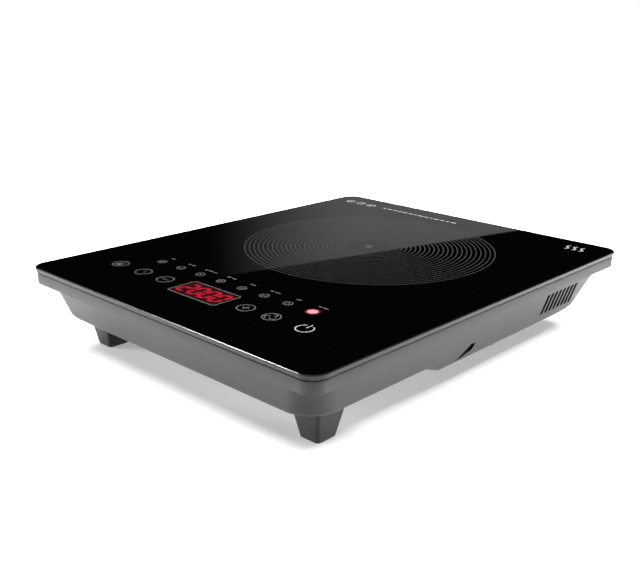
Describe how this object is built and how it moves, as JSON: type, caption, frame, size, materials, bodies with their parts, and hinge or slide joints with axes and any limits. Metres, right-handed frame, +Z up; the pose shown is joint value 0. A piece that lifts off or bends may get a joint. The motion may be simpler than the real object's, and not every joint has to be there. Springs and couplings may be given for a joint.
{
  "type": "electric induction cooktop",
  "caption": "Slim rectangular single-zone induction cooktop: black glass top with touch keys, on a tapered grey housing with side vents, a fan inside and short feet.",
  "frame": {"origin": "bottom centre of the whole cooktop, on the surface that the feet stand on", "axes": "+X to the user's right, +Y to the back, away from the controls, +Z up"},
  "size_m": [0.28, 0.35, 0.062],
  "materials": {
    "black_glass": "polished opaque black ceramic glass with thin grey printed rings and key marks",
    "grey_plastic": "smooth mid grey moulded plastic, soft sheen",
    "dark_plastic": "matt black moulded plastic",
    "white_plastic": "off-white heat resistant moulding",
    "rubber": "matt black rubber",
    "copper": "enamelled copper wire",
    "bronze": "sintered bronze sleeve",
    "steel": "zinc plated steel",
    "aluminium": "extruded aluminium",
    "circuit_board": "green circuit board laminate",
    "ferrite": "dark grey sintered ferrite",
    "mica": "pressed mica sheet, slightly pearly",
    "epoxy": "black moulded epoxy",
    "capacitor_yellow": "yellow potted film capacitor case"
  },
  "bodies": {
    "housing": {"bridge_rectifier": "epoxy", "buzzer": "dark_plastic", "coil_former": "white_plastic", "coil_lead_inner": "copper", "coil_lead_outer": "copper", "controller_chip": "epoxy", "cord_gland": "rubber", "digit_display": "dark_plastic", "display_cable": "white_plastic", "electrolytic_capacitor": "epoxy", "fan_bearing": "bronze", "fan_frame": "dark_plastic", "fan_lead": "dark_plastic", "fan_stator": "steel", "ferrite_bar_1": "ferrite", "ferrite_bar_2": "ferrite", "ferrite_bar_3": "ferrite", "ferrite_bar_4": "ferrite", "ferrite_bar_5": "ferrite", "ferrite_bar_6": "ferrite", "filter_capacitor": "capacitor_yellow", "filter_choke": "copper", "foot_pad_back_left": "rubber", "foot_pad_back_right": "rubber", "foot_pad_front_left": "rubber", "foot_pad_front_right": "rubber", "fuse": "white_plastic", "glass_seal": "rubber", "glass_top": "black_glass", "heat_sink": "aluminium", "housing_screw_1": "steel", "housing_screw_2": "steel", "housing_screw_3": "steel", "housing_screw_4": "steel", "housing_screw_5": "steel", "housing_screw_6": "steel", "igbt": "epoxy", "induction_coil": "copper", "lamp_strip": "white_plastic", "light_guide": "dark_plastic", "lower_housing": "grey_plastic", "mica_sheet": "mica", "power_board": "circuit_board", "resonant_capacitor": "capacitor_yellow", "sensor_holder": "white_plastic", "smoothing_capacitor": "capacitor_yellow", "temperature_sensor": "epoxy", "terminal_block": "white_plastic", "touch_board": "circuit_board", "touch_spring_1": "steel", "touch_spring_2": "steel", "touch_spring_3": "steel", "touch_spring_4": "steel", "touch_spring_5": "steel", "touch_spring_6": "steel", "transformer": "ferrite", "upper_frame": "grey_plastic", "varistor": "epoxy"},
    "fan_rotor": {"fan_rotor": "dark_plastic"}
  },
  "joints": [
    {"name": "fan_spin", "type": "hinge", "parent": "housing", "child": "fan_rotor", "pos_m": [0.07, 0.08, 0.028], "axis": [0, 0, 1], "continuous": true}
  ]
}
